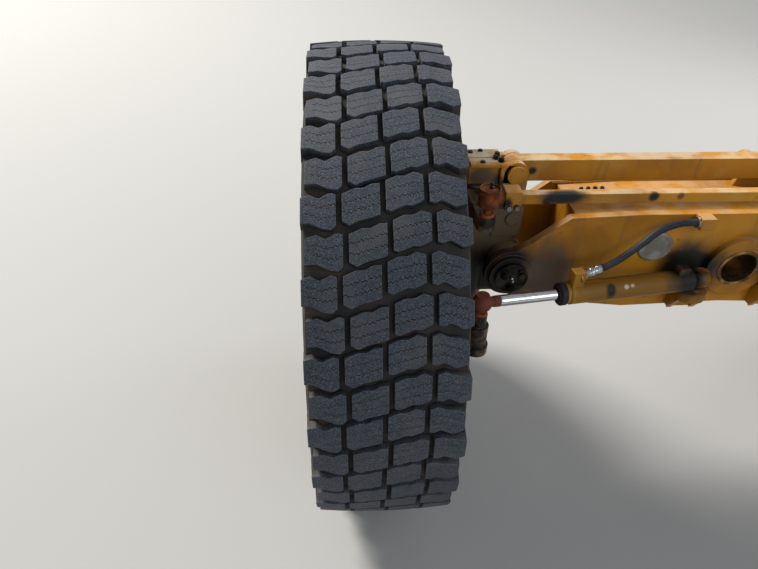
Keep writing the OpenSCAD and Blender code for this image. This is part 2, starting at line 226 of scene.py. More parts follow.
camera_data = bpy.data.cameras.new("camera")
camera_data.sensor_width = 36
camera_data.lens = 36 * FOCAL_PIXELS / PHOTO_WIDTH
camera = bpy.data.objects.new("camera", camera_data)
bpy.context.scene.collection.objects.link(camera)
turn = Matrix.Rotation(-CAMERA_YAW, 4, "Z")
tilt = Matrix.Rotation(math.pi / 2 - CAMERA_PITCH, 4, "X")
roll = Matrix.Rotation(CAMERA_ROLL, 4, "Z")
camera.matrix_world = Matrix.Translation(CAMERA_PLACE) @ turn @ tilt @ roll
bpy.context.scene.camera = camera
bpy.context.scene.view_settings.view_transform = "Standard"
print("lens:", round(camera_data.lens, 2), "mm")

# %% [markdown]
# ## Floor and light
# A pale matt floor keeps the wheels' shadow. One big lamp stands ahead and to the left,
# where the sun was, and lights the tops of the beam and the bars. A weaker one behind the
# camera opens the shade on the tread, a third on the right draws the edges, and the even
# grey of the world does the rest.

# %% Floor and light
FLOOR = cad_box[0][2]
FLOOR_HALF = 30.0

deselect()
bpy.ops.mesh.primitive_plane_add(size=2 * FLOOR_HALF, location=(0, 0, FLOOR))
floor = settle(bpy.context.object)
floor.name = "floor"


def lamp(name, place, aim, size, power, colour=(1, 1, 1)):
    data = bpy.data.lights.new(name, "AREA")
    data.size = size
    data.energy = power
    data.color = colour
    made = bpy.data.objects.new(name, data)
    bpy.context.scene.collection.objects.link(made)
    made.location = place
    made.rotation_euler = (Vector(aim) - Vector(place)).to_track_quat("-Z", "Y").to_euler()
    return made


lamp("key", (-10.0, 8.3, 11.5), (-0.4, 0, 0), 4.8, 4600, (1.0, 0.96, 0.90))
lamp("fill", (1.2, -4.5, 2.6), (-0.2, 0, 0), 3.5, 80, (0.90, 0.95, 1.0))
lamp("rim_light", (4.0, 2.5, 2.4), (0.3, 0, 0), 2.5, 90)

world = bpy.data.worlds.new("studio")
world.use_nodes = True
bpy.context.scene.world = world
background = world.node_tree.nodes["Background"]
background.inputs["Color"].default_value = (0.86, 0.90, 0.96, 1)
background.inputs["Strength"].default_value = 0.45

# %% [markdown]
# ## Materials
# A finish is built from a few layers: a base colour, slow noise that makes it uneven, then
# masks for grime, rust and grease. All of them read object coordinates, which here are
# metres in the axle's own frame, so a stain can be put at a place on the real part.

# %% Helpers for materials
def feed(tree, node, inputs):
    """Sets a node's inputs. Each is a value or another node's output."""
    for name, value in inputs.items():
        if isinstance(value, bpy.types.NodeSocket):
            tree.links.new(value, node.inputs[name])
        else:
            node.inputs[name].default_value = value


def add(tree, kind, inputs=None, **settings):
    """Adds a shader node."""
    made = tree.nodes.new("ShaderNode" + kind)
    for name, value in settings.items():
        setattr(made, name, value)
    feed(tree, made, inputs or {})
    return made


def noise(tree, at, scale, detail=4, stretch=None):
    if stretch:
        at = add(tree, "Mapping", {"Vector": at, "Scale": stretch}).outputs[0]
    made = add(tree, "TexNoise", {"Vector": at, "Scale": scale, "Detail": detail})
    return made.outputs["Fac"]


def ramp(tree, value, low, high):
    """0 at low, 1 at high, smooth in between."""
    inputs = {"Value": value, "From Min": low, "From Max": high}
    return add(tree, "MapRange", inputs, interpolation_type="SMOOTHSTEP").outputs["Result"]


def maths(tree, operation, a, b):
    return add(tree, "Math", {0: a, 1: b}, operation=operation).outputs[0]


def times(tree, a, b):
    return maths(tree, "MULTIPLY", a, b)


def blend(tree, factor, *colours):
    """Mixes two colours. Each is three numbers or another node's output."""
    a, b = [(*colour, 1) if isinstance(colour, tuple) else colour for colour in colours]
    return add(tree, "Mix", {0: factor, 6: a, 7: b}, data_type="RGBA").outputs[2]


def spot(tree, at, centre, radius, soft=0.5, stretch=(1, 1, 1)):
    """1 near a place on the axle, fading to 0 at the radius, with a ragged rim."""
    ragged = noise(tree, at, 14, 5)
    offset = [-c * s for c, s in zip(centre, stretch)]
    moved = add(tree, "Mapping", {"Vector": at, "Location": offset, "Scale": stretch}).outputs[0]
    far = add(tree, "VectorMath", {0: moved}, operation="LENGTH").outputs["Value"]
    worn = maths(tree, "ADD", far, times(tree, ragged, radius * 0.6))
    return ramp(tree, worn, radius * 1.3, radius * (1.3 - soft))


def new_material(name):
    made = bpy.data.materials.new(name)
    made.use_nodes = True
    tree = made.node_tree
    return made, tree, tree.nodes["Principled BSDF"]


def edge_mask(tree, radius):
    """1 on sharp edges: where a rounded copy of the surface's normal leaves the flat one."""
    round_normal = add(tree, "Bevel", {"Radius": radius}, samples=4).outputs[0]
    flat_normal = add(tree, "NewGeometry").outputs["True Normal"]
    dot = add(tree, "VectorMath", {0: round_normal, 1: flat_normal}, operation="DOT_PRODUCT")
    return ramp(tree, dot.outputs["Value"], 0.995, 0.90), round_normal


# %% [markdown]
# ### Aged yellow paint
# The beam and the rods wear a golden yellow that has darkened to amber. Dust lies on it in
# slow patches, and the pale dust on the upward faces is also a painted highlight on the
# tops. Rust shows in small chips and along edges, and the black round the king pins is
# grease and painted shade. The same function makes each variant, with its own list of stains.

# %% Paint
YELLOW = (0.48, 0.205, 0.010)
YELLOW_DARK = (0.25, 0.095, 0.005)
YELLOW_PALE = (0.60, 0.34, 0.06)
RUST = (0.16, 0.055, 0.022)
RUST_RED = (0.13, 0.028, 0.012)
# A darker ochre, laid over the ram barrels as a browner tone and as painted shade.
OCHRE_AND_SHADE = (0.20, 0.092, 0.008)
GREASE = (0.010, 0.009, 0.008)
DUST = (0.60, 0.50, 0.34)
DIRT = (0.10, 0.070, 0.042)


def paint(name, stains=(), rusty=0.5, dust_and_highlight=0.5, grease_and_shade=0.0):
    """stains: rows of (colour, centre, radius, stretch if any). The last number is the share
    under grease and painted shade.
    """
    made, tree, shader = new_material(name)
    at = add(tree, "TexCoord").outputs["Object"]
    colour = blend(tree, ramp(tree, noise(tree, at, 4.5, 5), 0.36, 0.66), YELLOW, YELLOW_DARK)
    pale = times(tree, ramp(tree, noise(tree, at, 9, 6), 0.48, 0.72), 0.6 * dust_and_highlight)
    colour = blend(tree, pale, colour, YELLOW_PALE)
    streaks = ramp(tree, noise(tree, at, 13, 4, (3, 3, 0.5)), 0.55, 0.78)
    colour = blend(tree, times(tree, streaks, 0.45), colour, DIRT)
    edges, round_normal = edge_mask(tree, 0.003)
    chips = ramp(tree, noise(tree, at, 48, 6), 0.66, 0.72)
    ragged = ramp(tree, noise(tree, at, 30, 5), 0.52, 0.64)
    bare = maths(tree, "MAXIMUM", chips, times(tree, edges, ragged))
    colour = blend(tree, times(tree, bare, rusty), colour, RUST)
    # Pale dust on upward faces, which is also a painted highlight on the tops.
    facing = add(tree, "SeparateXYZ", {0: add(tree, "NewGeometry").outputs["Normal"]}).outputs[2]
    dust_and_top_highlight = ramp(tree, noise(tree, at, 17, 6), 0.34, 0.62)
    dust_and_top_highlight = times(tree, dust_and_top_highlight, ramp(tree, facing, 0.55, 0.95))
    colour = blend(tree, times(tree, dust_and_top_highlight, 0.75 * dust_and_highlight), colour, DUST)
    rough = maths(tree, "ADD", times(tree, noise(tree, at, 20, 3), 0.3), 0.30)
    # A black grease film that is also painted shade, on the spindles and steering arms.
    if grease_and_shade:
        caked = ramp(tree, noise(tree, at, 12, 6), 0.80 - 0.5 * grease_and_shade, 0.62 - 0.5 * grease_and_shade)
        film = blend(tree, ramp(tree, noise(tree, at, 31, 5), 0.40, 0.60), GREASE, DIRT)
        colour = blend(tree, maths(tree, "SUBTRACT", 1, caked), colour, film)
    for stain_colour, centre, radius, *stretch in stains:
        mask = spot(tree, at, centre, radius, 0.6, *stretch)
        colour = blend(tree, mask, colour, stain_colour)
    height = maths(tree, "SUBTRACT", noise(tree, at, 160, 3), times(tree, bare, 0.8))
    bump = add(tree, "Bump", {"Strength": 0.25, "Distance": 0.0015, "Height": height,
                              "Normal": round_normal})
    feed(tree, shader, {"Base Color": colour, "Roughness": rough, "Normal": bump.outputs[0],
                        "Specular IOR Level": 0.28})
    return made


# %% [markdown]
# ### Steel, rust, chrome and bronze
# Pins and studs are worn steel with grease on them, the ball joints are rusted all over, and
# the rods of the rams are hard chrome, the only mirror-like surface on the axle. A rod and
# its eye are one CAD node, so the chrome turns to rusty iron near the eye's middle. Two
# materials on two groups of faces would meet in a line as hard as a cut.

# %% Metals
def metal(name, light, dark, rough, patch=0.5, metallic=1.0, bump_size=0.0006, eyes=()):
    """eyes: places (centre, radius) where the metal is forged and rusted, not polished."""
    made, tree, shader = new_material(name)
    at = add(tree, "TexCoord").outputs["Object"]
    mask = ramp(tree, noise(tree, at, 22, 6), patch - 0.12, patch + 0.12)
    fine = ramp(tree, noise(tree, at, 120, 4), 0.35, 0.7)
    colour = blend(tree, times(tree, fine, 0.35), blend(tree, mask, light, dark), dark)
    height = add(tree, "Bump", {"Strength": 0.4, "Distance": bump_size,
                                "Height": noise(tree, at, 90, 5),
                                "Normal": edge_mask(tree, 0.002)[1]})
    roughness = maths(tree, "ADD", times(tree, mask, 0.25), rough)
    shader.inputs["Metallic"].default_value = metallic
    if metallic == 0:
        shader.inputs["Specular IOR Level"].default_value = 0.2
    for centre, radius in eyes:
        forged = spot(tree, at, centre, radius, 0.12)
        colour = blend(tree, forged, colour, blend(tree, mask, RUST_RED, RUST))
        roughness = maths(tree, "MAXIMUM", roughness, times(tree, forged, 0.75))
    if eyes:
        tree.links.new(maths(tree, "LESS_THAN", roughness, 0.6), shader.inputs["Metallic"])
    feed(tree, shader, {"Base Color": colour, "Roughness": roughness,
                        "Normal": height.outputs[0]})
    return made


EYE_R = 0.052
LEAN_EYE_R = 0.046
eyes = [(on_side(side, RAM_EYE), EYE_R) for side in SIDES.values()] + [(LEAN_EYE, LEAN_EYE_R)]
worn_steel = metal("worn_steel", (0.30, 0.28, 0.26), (0.07, 0.055, 0.045), 0.38)
rusted = metal("rusted_iron", (0.27, 0.074, 0.018), (0.080, 0.022, 0.010), 0.62, 0.5, 0.0,
               0.0015)
chrome = metal("hard_chrome", (0.72, 0.73, 0.75), (0.42, 0.42, 0.43), 0.10, 0.75, 1.0, 0.0001,
               eyes)
greasy_steel = metal("greasy_steel", (0.060, 0.055, 0.050), (0.012, 0.010, 0.009), 0.30)
zinc = metal("zinc_plate", (0.48, 0.49, 0.50), (0.20, 0.19, 0.18), 0.30, 0.58)
bronze = metal("bearing_bronze", (0.42, 0.27, 0.11), (0.10, 0.06, 0.03), 0.35)

# %% [markdown]
# ### Rubber
# The tyre is dark blue-grey. Its block faces are sanded by the road to a lighter, speckled
# grey, and brown dust sits at the foot of the grooves. How deep a point lies follows from
# its distance to the wheel's axle, so one mask, made from that distance, sorts them. The
# edges of the blocks' tops are a lighter grey, a painted highlight.

# %% Rubber
def rubber(name, wheel_x, wheel_z, tread_radius, groove):
    made, tree, shader = new_material(name)
    at = add(tree, "TexCoord").outputs["Object"]
    moved = add(tree, "Mapping", {"Vector": at, "Location": (-wheel_x, 0, -wheel_z)}).outputs[0]
    flat = add(tree, "Mapping", {"Vector": moved, "Scale": (0, 1, 1)}).outputs[0]
    radius = add(tree, "VectorMath", {0: flat}, operation="LENGTH").outputs["Value"]
    depth = ramp(tree, radius, tread_radius - groove, tread_radius - 0.006)
    speckle = ramp(tree, noise(tree, at, 420, 3), 0.42, 0.68)
    cloud = noise(tree, at, 11, 5)
    top = blend(tree, speckle, (0.018, 0.023, 0.033), (0.085, 0.096, 0.118))
    top = blend(tree, times(tree, ramp(tree, cloud, 0.45, 0.75), 0.5),
                top, (0.085, 0.080, 0.078))
    dust = blend(tree, ramp(tree, noise(tree, at, 10, 7), 0.30, 0.80),
                 (0.012, 0.012, 0.013), (0.060, 0.045, 0.031))
    colour = blend(tree, depth, dust, top)
    edges, round_normal = edge_mask(tree, 0.0018)
    # A painted highlight: lighter grey along the edges of the blocks' tops.
    colour = blend(tree, times(tree, times(tree, edges, depth), 0.55),
                   colour, (0.19, 0.20, 0.21))
    bump = add(tree, "Bump", {"Strength": 0.5, "Distance": 0.0009,
                              "Height": noise(tree, at, 380, 4), "Normal": round_normal})
    feed(tree, shader, {"Base Color": colour, "Roughness": 0.72, "Normal": bump.outputs[0],
                        "Specular IOR Level": 0.35})
    return made


# %% [markdown]
# ### The floor's finish
# The floor is plain and pale. It isn't part of the axle.

# %% Floor finish
floor_finish, floor_tree, floor_shader = new_material("floor_finish")
feed(floor_tree, floor_shader, {"Base Color": (0.39, 0.39, 0.38, 1), "Roughness": 0.9})
floor.data.materials.append(floor_finish)

# %% [markdown]
# ### Finishes for the CAD nodes
# Each node keeps its own shape and gets a better material in its slot. The stains are at
# the places where they were seen: grease and painted shade at the king pins and the beam's
# noses, smudges on the bars and a scuffed black patch on the tie rod. A paint's last numbers
# say how rusty it is, how much dust and painted highlight lie on its tops, and how much
# grease and painted shade cover it.

# %% Finishes for the CAD nodes
BOTH = tuple(SIDES.values())
# Black round the king pins: grease and painted shade.
king_grease_and_shade = [(GREASE, (side * KING_X, -0.02, -0.03), 0.20, (1.2, 1, 0.8)) for side in BOTH]
# Black round the lean pins at the beam's noses: grease and painted shade.
nose_grease_and_shade = [(GREASE, (side * LEAN_X, -0.13, -0.010), 0.150) for side in BOTH]
beam_paint = paint("beam_paint", king_grease_and_shade + nose_grease_and_shade + [
    (DIRT, (-0.56, -0.12, -0.03), 0.11, (1, 1, 0.7)),
    (DIRT, (0.56, -0.12, -0.03), 0.11, (1, 1, 0.7)),
    (GREASE, (-0.135, -0.12, -0.01), 0.13),
    (GREASE, (0.135, -0.12, -0.01), 0.10),
    (RUST, (-0.573, -0.12, 0.043), 0.022, (1, 1, 2)),
], 0.5, 0.35)
yoke_paint = paint("yoke_paint", king_grease_and_shade + [
    (DIRT, (-0.70, -0.03, 0.11), 0.15),
    (DIRT, (0.70, -0.03, 0.11), 0.12),
], 0.8, 1.0)
bar_paint = paint("bar_paint", [
    (GREASE, (-0.615, 0.0, 0.247), 0.017),
    (DIRT, (-0.70, 0.0, 0.24), 0.05),
    (DIRT, (0.68, 0.0, 0.25), 0.05),
], 0.6, 0.7)
tie_paint = paint("tie_paint", [
    (GREASE, (-0.585, -0.179, 0.264), 0.034, (0.42, 1, 1)),
    (GREASE, (-0.625, -0.179, 0.252), 0.016),
    (GREASE, (-0.350, -0.179, 0.262), 0.018),
    (RUST, (-0.28, -0.179, 0.262), 0.012),
    (GREASE, (-0.728, -0.19, 0.245), 0.018, (1, 1, 0.6)),
], 0.6, 0.6)
ram_paint = paint("ram_paint", [
    # Each barrel is darkened all over: partly a browner tone, partly painted shade.
    (OCHRE_AND_SHADE, (-0.33, -0.20, -0.02), 0.14, (0.4, 1, 1)),
    (OCHRE_AND_SHADE, (0.33, -0.20, -0.02), 0.14, (0.4, 1, 1)),
    (GREASE, (-0.407, -0.225, -0.005), 0.020, (1, 1, 0.6)),
    (GREASE, (-0.175, -0.17, -0.01), 0.085),
    (DIRT, (0.175, -0.17, -0.01), 0.085),
    (DUST, (-0.362, -0.222, 0.004), 0.012),
    (DUST, (-0.344, -0.219, 0.006), 0.010),
], 0.45, 0.3)
wheel_paint = paint("wheel_paint", [], 0.7, 0.8)
# Spindles and steering arms: grease and painted shade make them nearly black.
grease_and_shade_paint = paint("grease_and_shade_paint", king_grease_and_shade, 0.8, 0.5, 0.75)
cap_paint = paint("cap_paint", [
    (GREASE, (-0.712, -0.012, 0.222), 0.030),
    (DIRT, (-0.760, -0.020, 0.235), 0.055, (0.8, 1, 1.4)),
    (DIRT, (0.760, -0.020, 0.235), 0.050, (0.8, 1, 1.4)),
], 0.8, 1.3)
cover_steel = metal("cover_steel", (0.30, 0.29, 0.265), (0.17, 0.155, 0.125), 0.55, 0.5, 0.2)

FINISH = {
    "beam": beam_paint, "lean_bracket": bar_paint, "anchor": beam_paint, "yoke": yoke_paint,
    "lean_bar": bar_paint, "spindle": grease_and_shade_paint, "steer_arm": grease_and_shade_paint,
    "ram_barrel": ram_paint, "lean_barrel": bar_paint, "hub": wheel_paint, "rim": wheel_paint,
    # The lean pins' black greasy steel is also painted shade.
    "lock_ring": wheel_paint, "pivot_bushing": bronze, "lean_pin": greasy_steel,
    "king_pin": worn_steel, "bar_pin": cap_paint, "anchor_ball": worn_steel,
    "ram_stud": rusted, "tie_stud": rusted,
    "ram_rod": chrome, "lean_rod": chrome,
}


def finish_for(name):
    for side in SIDES:
        name = name.removesuffix("_" + side)
    return FINISH.get(name)


for name, node_object in nodes.items():
    finish = finish_for(name)
    if finish is not None:
        node_object.data.materials.clear()
        node_object.data.materials.append(finish)
print("finishes:", len(FINISH))

# %% [markdown]
# ## The tyres
# The tread has four rows of big blocks, 52 to a turn. In the photo each block has a wavy
# front and rear edge and two fine zig-zag cuts, called sipes, and every second line of
# blocks is set over to one side, so that the long grooves wander. It could be a bump map,
# but the blocks stand 24 mm high and make the tyre's outline, so they are real shapes.
#
# The plan is a common one for tyres: model one block of each row flat, copy it, run an
# Array along the tyre's length, and bend the strip into a ring.

# %% Sizes of the tread
tyre_low, tyre_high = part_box("tyre_left")
WHEEL_X = (tyre_high.x + tyre_low.x) / -2
WHEEL_Z = (tyre_high.z + tyre_low.z) / 2
TYRE_R = (tyre_high.z - tyre_low.z) / 2
LINES = 52
PITCH = 2 * math.pi * TYRE_R / LINES
BLOCK_DEPTH = 0.024
BLOCK_WIDTH = 0.0755
ROW_SPACING = 0.0878
LINE_SHIFT = 0.0065
COLUMNS = 16
SIPE_WIDTH = 0.0020
SIPE_WAVE = 0.0023
CROWN_DROP = 0.009
SHOULDER = 0.026
SHOULDER_X = 0.1745
SHOULDER_OUT = 0.002
WALL_SPREAD = 1.05
print("tyre radius:", round(TYRE_R, 4), "pitch of the blocks:", round(PITCH, 4))

# %% [markdown]
# A block starts as a flat grid of 16 columns, upright behind the wheel and facing the
# camera. Two strips of faces are deleted for the sipes, then each corner is slid to its
# place: the outer ones to the wavy edges, the inner ones to the zig-zag of the sipes. The
# table gives each row's edges in millimetres from the row's middle, as pairs of a share of
# the width and a height.

# %% One block of each row
ROWS = [
    {"centre": -1.5, "ahead": 0.000, "sipes": (3, 16),
     "front": [(0, 26), (0.3, 33), (0.55, 24), (0.85, 36), (1, 32)],
     "rear": [(0, -26), (0.3, -25), (0.65, -38), (0.87, -40), (1, -31)]},
    {"centre": -0.5, "ahead": 0.0094, "sipes": (0, 16),
     "front": [(0, 23.5), (0.34, 35), (0.58, 35), (0.78, 44), (1, 45)],
     "rear": [(0, -32), (0.2, -41), (0.43, -32), (0.7, -27), (1, -20)]},
    {"centre": 0.5, "ahead": 0.0372, "sipes": (0, 16),
     "front": [(0, 23), (0.28, 33), (0.52, 33), (0.75, 42), (1, 36)],
     "rear": [(0, -38), (0.12, -41), (0.32, -35), (0.5, -29), (0.7, -30), (1, -19)]},
    {"centre": 1.5, "ahead": 0.0430, "sipes": (0, 13),
     "front": [(0, 32), (0.2, 38), (0.43, 30), (0.7, 26), (1, 18)],
     "rear": [(0, -27), (0.12, -30), (0.33, -24), (0.67, -38), (1, -30)]},
]


def height_at(edge, share):
    """The height of an edge at a share of the block's width, in metres."""
    for (s0, h0), (s1, h1) in zip(edge, edge[1:]):
        if share <= s1:
            return (h0 + (h1 - h0) * (share - s0) / (s1 - s0)) / 1000
    return edge[-1][1] / 1000


def crown(x):
    """How far the tread falls away from its middle, at x."""
    return CROWN_DROP * (abs(x) / (2 * ROW_SPACING)) ** 2.2


def tread_block(row):
    deselect()
    bpy.ops.mesh.primitive_grid_add(x_subdivisions=COLUMNS, y_subdivisions=5, size=1,
                                    rotation=(math.pi / 2, 0, 0))
    block = settle(bpy.context.object)
    first, last = row["sipes"]
    edges_of_sipes = (first / COLUMNS - 0.5, last / COLUMNS - 0.5)

    def in_sipe(face):
        at = face.calc_center_median()
        return edges_of_sipes[0] < at.x < edges_of_sipes[1] and 0.1 < abs(at.z) < 0.3

    pick(block, "FACE", in_sipe)
    bpy.ops.mesh.delete(type="FACE")
    middle_x = row["centre"] * ROW_SPACING
    for column in range(COLUMNS + 1):
        share = column / COLUMNS
        front = height_at(row["front"], share)
        rear = height_at(row["rear"], share)
        wave = SIPE_WAVE if column % 2 else -SIPE_WAVE
        heights = [rear, front]
        for third in (1, 2):
            sipe = rear + (front - rear) * third / 3 + wave
            heights += [sipe - SIPE_WIDTH / 2, sipe + SIPE_WIDTH / 2]
        x = middle_x + (share - 0.5) * BLOCK_WIDTH
        for line, height in enumerate(sorted(heights)):
            old = Vector((share - 0.5, 0, line / 5 - 0.5))
            new = Vector((x, crown(x), height + row["ahead"]))
            slide(block, line * (COLUMNS + 1) + column, new - old)
    deepen(block, middle_x)
    return block


def slide(piece, index, step):
    """Moves one corner of the mesh that is being edited."""
    bpy.ops.mesh.select_all(action="DESELECT")
    shape = bmesh.from_edit_mesh(piece.data)
    shape.verts.ensure_lookup_table()
    shape.verts[index].select_set(True)
    bpy.ops.transform.translate(value=step)


def deepen(block, middle_x):
    """Gives the flat block its height, with sloping walls and a deep outer shoulder."""
    bpy.ops.mesh.select_mode(type="FACE")
    bpy.ops.mesh.select_all(action="SELECT")
    bpy.ops.mesh.extrude_region_move(TRANSFORM_OT_translate={"value": (0, BLOCK_DEPTH, 0)})
    base = BLOCK_DEPTH * 0.6
    pick(block, "VERT", lambda corner: corner.co.y - crown(corner.co.x) > base)
    middle_z = sum(v.co.z for v in block.data.vertices) / len(block.data.vertices)
    bpy.ops.transform.resize(value=(WALL_SPREAD, 1, WALL_SPREAD),
                             center_override=(middle_x, 0, middle_z))
    outer = BLOCK_WIDTH * 0.45
    outside = math.copysign(1, middle_x)
    if abs(middle_x) > ROW_SPACING:
        pick(block, "VERT", lambda corner: corner.co.y - crown(corner.co.x) > base
             and (corner.co.x - middle_x) * outside > outer)
        bpy.ops.transform.translate(value=(outside * SHOULDER_OUT, SHOULDER, 0))
    bpy.ops.object.mode_set(mode="OBJECT")


blocks = [tread_block(row) for row in ROWS]
print("faces of a block:", len(blocks[0].data.polygons))

# %% [markdown]
# Two lines of blocks make one unit: the second is a copy, one pitch on and set over to the
# other side. The Array repeats the unit 26 times. Simple Deform then bends the strip about
# the wheel's axle. Its angle is a full turn less the gap after the last block, so that the
# spacing stays even where the ends meet.

# %% The tread as a ring
def tread_ring():
    unit = []
    for block in blocks:
        unit.append(copy_of(block, Matrix.Translation((LINE_SHIFT, 0, 0))))
        unit.append(copy_of(block, Matrix.Translation((-LINE_SHIFT, 0, PITCH))))
    for block in unit:
        outer = max((corner.co.x for corner in block.data.vertices), key=abs)
        if abs(outer) > SHOULDER_X:
            pick(block, "VERT", lambda corner: abs(corner.co.x) > SHOULDER_X)
            back = math.copysign(abs(outer) - SHOULDER_X, -outer)
            bpy.ops.transform.translate(value=(back, 0, 0))
            bpy.ops.object.mode_set(mode="OBJECT")
    strip = join(unit, "tread_strip")
    modify(strip, "ARRAY", use_relative_offset=False, use_constant_offset=True,
           constant_offset_displace=(0, 0, 2 * PITCH), count=LINES // 2)
    heights = [corner.co.z for corner in strip.data.vertices]
    length = max(heights) - min(heights)
    modify(strip, "SIMPLE_DEFORM", deform_method="BEND", deform_axis="X",
           angle=2 * math.pi * length / (LINES * PITCH))
    strip.data.transform(Matrix.Translation((-WHEEL_X, -TYRE_R, WHEEL_Z)))
    return outward(strip)


ring = tread_ring()
for block in blocks:
    bpy.data.objects.remove(block)
print("tread:", len(ring.data.polygons), "faces")

# %% [markdown]
# The body under the blocks is a turned shape. Its half outline is drawn point by point, by
# extruding one corner, and then spun round the axle. Low ribs on the sidewall are part of
# the outline. A torus would be quicker, but it has no bead, no ribs and no square shoulder.

# %% The tyre's body
def turned(name, outline, centre, steps):
    """Spins an outline of (radius, x) rows about the X axis through a centre."""
    deselect()
    bpy.ops.mesh.primitive_plane_add(size=0.01)
    piece = bpy.context.object
    piece.name = name
    pick(piece, "VERT", lambda corner: corner.index > 0)
    bpy.ops.mesh.delete(type="VERT")
    bpy.ops.mesh.select_all(action="SELECT")
    shape = bmesh.from_edit_mesh(piece.data)
    shape.verts.ensure_lookup_table()
    at = shape.verts[0].co.copy()
    radius, x = outline[0]
    bpy.ops.transform.translate(value=Vector((x, 0, radius)) - at)
    for (r0, x0), (r1, x1) in zip(outline, outline[1:]):
        bpy.ops.mesh.extrude_region_move(
            TRANSFORM_OT_translate={"value": (x1 - x0, 0, r1 - r0)})
    bpy.ops.mesh.select_all(action="SELECT")
    bpy.ops.mesh.spin(steps=steps, angle=2 * math.pi, center=(0, 0, 0), axis=(1, 0, 0))
    bpy.ops.object.mode_set(mode="OBJECT")
    outward(piece)
    piece.data.transform(Matrix.Translation(centre))
    return piece


def arc(centre, radius, start, end, steps):
    """Points (radius, x) on a round stretch of an outline, from one angle to another."""
    angles = [math.radians(start + (end - start) * step / steps) for step in range(steps + 1)]
    return [(centre[0] + radius * math.cos(angle), centre[1] + radius * math.sin(angle))
            for angle in angles]


TYRE_HALF = (tyre_high.x - tyre_low.x) / 2
SIDE_GAP = 0.0015
RIB = 0.0022
BEAD_R = 0.3055
BEAD_X = 0.1265
SIDE_R = 0.480
SIDE_ROUND = 0.148
GROOVE_R = TYRE_R - BLOCK_DEPTH + 0.003
sidewall = arc((SIDE_R, TYRE_HALF - SIDE_ROUND - SIDE_GAP), SIDE_ROUND, 128, 52, 14)
ribbed = []
for index, (radius, x) in enumerate(sidewall):
    ribbed.append((radius, x))
    if index in (3, 10):
        ribbed += [(radius + 0.001, x + RIB), (radius + 0.005, x + RIB), (radius + 0.006, x)]
half = [(BEAD_R, BEAD_X - 0.03), (BEAD_R, BEAD_X), (BEAD_R + 0.026, BEAD_X),
        (BEAD_R + 0.040, BEAD_X + 0.004)] + ribbed + [
    (GROOVE_R - 0.034, 0.1735), (GROOVE_R - 0.012, 0.1665), (GROOVE_R - 0.002, 0.120),
    (GROOVE_R, 0.030)]
outline = half + [(radius, -x) for radius, x in reversed(half)]
body = turned("tyre_body", outline, (-WHEEL_X, 0, WHEEL_Z), 104)
smooth(body, 35)
print("tyre body:", len(body.data.polygons), "faces")

# %% [markdown]
# Both tyres come out of one mould. The right one is a copy, turned half round, as the same
# tyre is when it is put on the other side of a machine.

# %% Both tyres
left_tyre = join([ring, body], "tyre_skin_left")
right_tyre = copy_of(left_tyre, Matrix.Rotation(math.pi, 4, "Z"))
right_tyre.name = "tyre_skin_right"
for name, side in SIDES.items():
    skin = bpy.data.objects["tyre_skin_" + name]
    skin.data.materials.clear()
    skin.data.materials.append(
        rubber("tyre_rubber_" + name, side * WHEEL_X, WHEEL_Z, TYRE_R, BLOCK_DEPTH))
    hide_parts("tyre_" + name)
    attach(skin, "wheel_" + name)

# %% [markdown]
# ## Bolts and nuts
# Every joint of the real axle is held by hexagon heads. Each has six sides, a chamfered top
# made by an inset that is lifted, and a washer with a softened rim. One function makes them
# all, at any size. A bevel modifier would do, but it triples the faces, and there are more
# than seventy of these.

# %% One bolt
def hexagon(width, height, stub=0.0):
    """A bolt's head or a nut on its washer. Its small steps are shares of its width."""
    deselect()
    bpy.ops.mesh.primitive_cylinder_add(vertices=20, radius=width * 0.68, depth=width * 0.12,
                                        location=(0, 0, width * 0.06))
    washer = settle(bpy.context.object)
    pick(washer, "FACE", lambda face: face.normal.z > 0.9)
    bpy.ops.mesh.inset(thickness=width * 0.05)
    bpy.ops.transform.translate(value=(0, 0, width * 0.02))
    deselect()
    low = width * 0.13
    bpy.ops.mesh.primitive_cylinder_add(vertices=6, radius=width / math.sqrt(3), depth=height,
                                        location=(0, 0, low + height / 2))
    head = settle(bpy.context.object)
    pick(head, "FACE", lambda face: face.normal.z > 0.9)
    bpy.ops.mesh.inset(thickness=width * 0.07)
    bpy.ops.transform.translate(value=(0, 0, width * 0.05))
    if stub:
        bpy.ops.mesh.inset(thickness=width * 0.14)
        bpy.ops.mesh.extrude_region_move(TRANSFORM_OT_translate={"value": (0, 0, stub)})
        bpy.ops.mesh.inset(thickness=width * 0.03)
        bpy.ops.transform.translate(value=(0, 0, width * 0.04))
    bpy.ops.object.mode_set(mode="OBJECT")
    return join([washer, head], "hexagon")


def facing(place, direction, axis="Z", up="Y"):
    """The matrix that puts a piece at a place, with one of its axes along a direction."""
    turned_to = Vector(direction).to_track_quat(axis, up).to_matrix().to_4x4()
    return Matrix.Translation(place) @ turned_to


def dress(piece, name, body, finish):
    """Names a piece, gives it its finish and its slot, and lets it ride on a body."""
    piece.name = name
    piece.data.name = name
    piece.data.materials.clear()
    piece.data.materials.append(finish)
    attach(piece, body)
    return piece


def fasten(name, body, rows, finish):
    """rows: (width, height, stub, place, direction). One piece holds all of a body's bolts."""
    heads = []
    for width, height, stub, place, direction in rows:
        heads.append(hexagon(width, height, stub))
        heads[-1].data.transform(facing(place, direction))
    return dress(join(heads), name, body, finish)


# %% [markdown]
# The wheel nuts sit on the disc, on a circle of 270 mm. A smaller circle of screws holds the
# hub's cap, and three short bolts keep each lean pin in place. The yoke's top plates have
# small dark bolts beside the gap between them, four more stand in a row on the beam, and
# two close each clamp of the tie rod. A head's three numbers are its width, its height and
# the length of the thread that stands out of it.

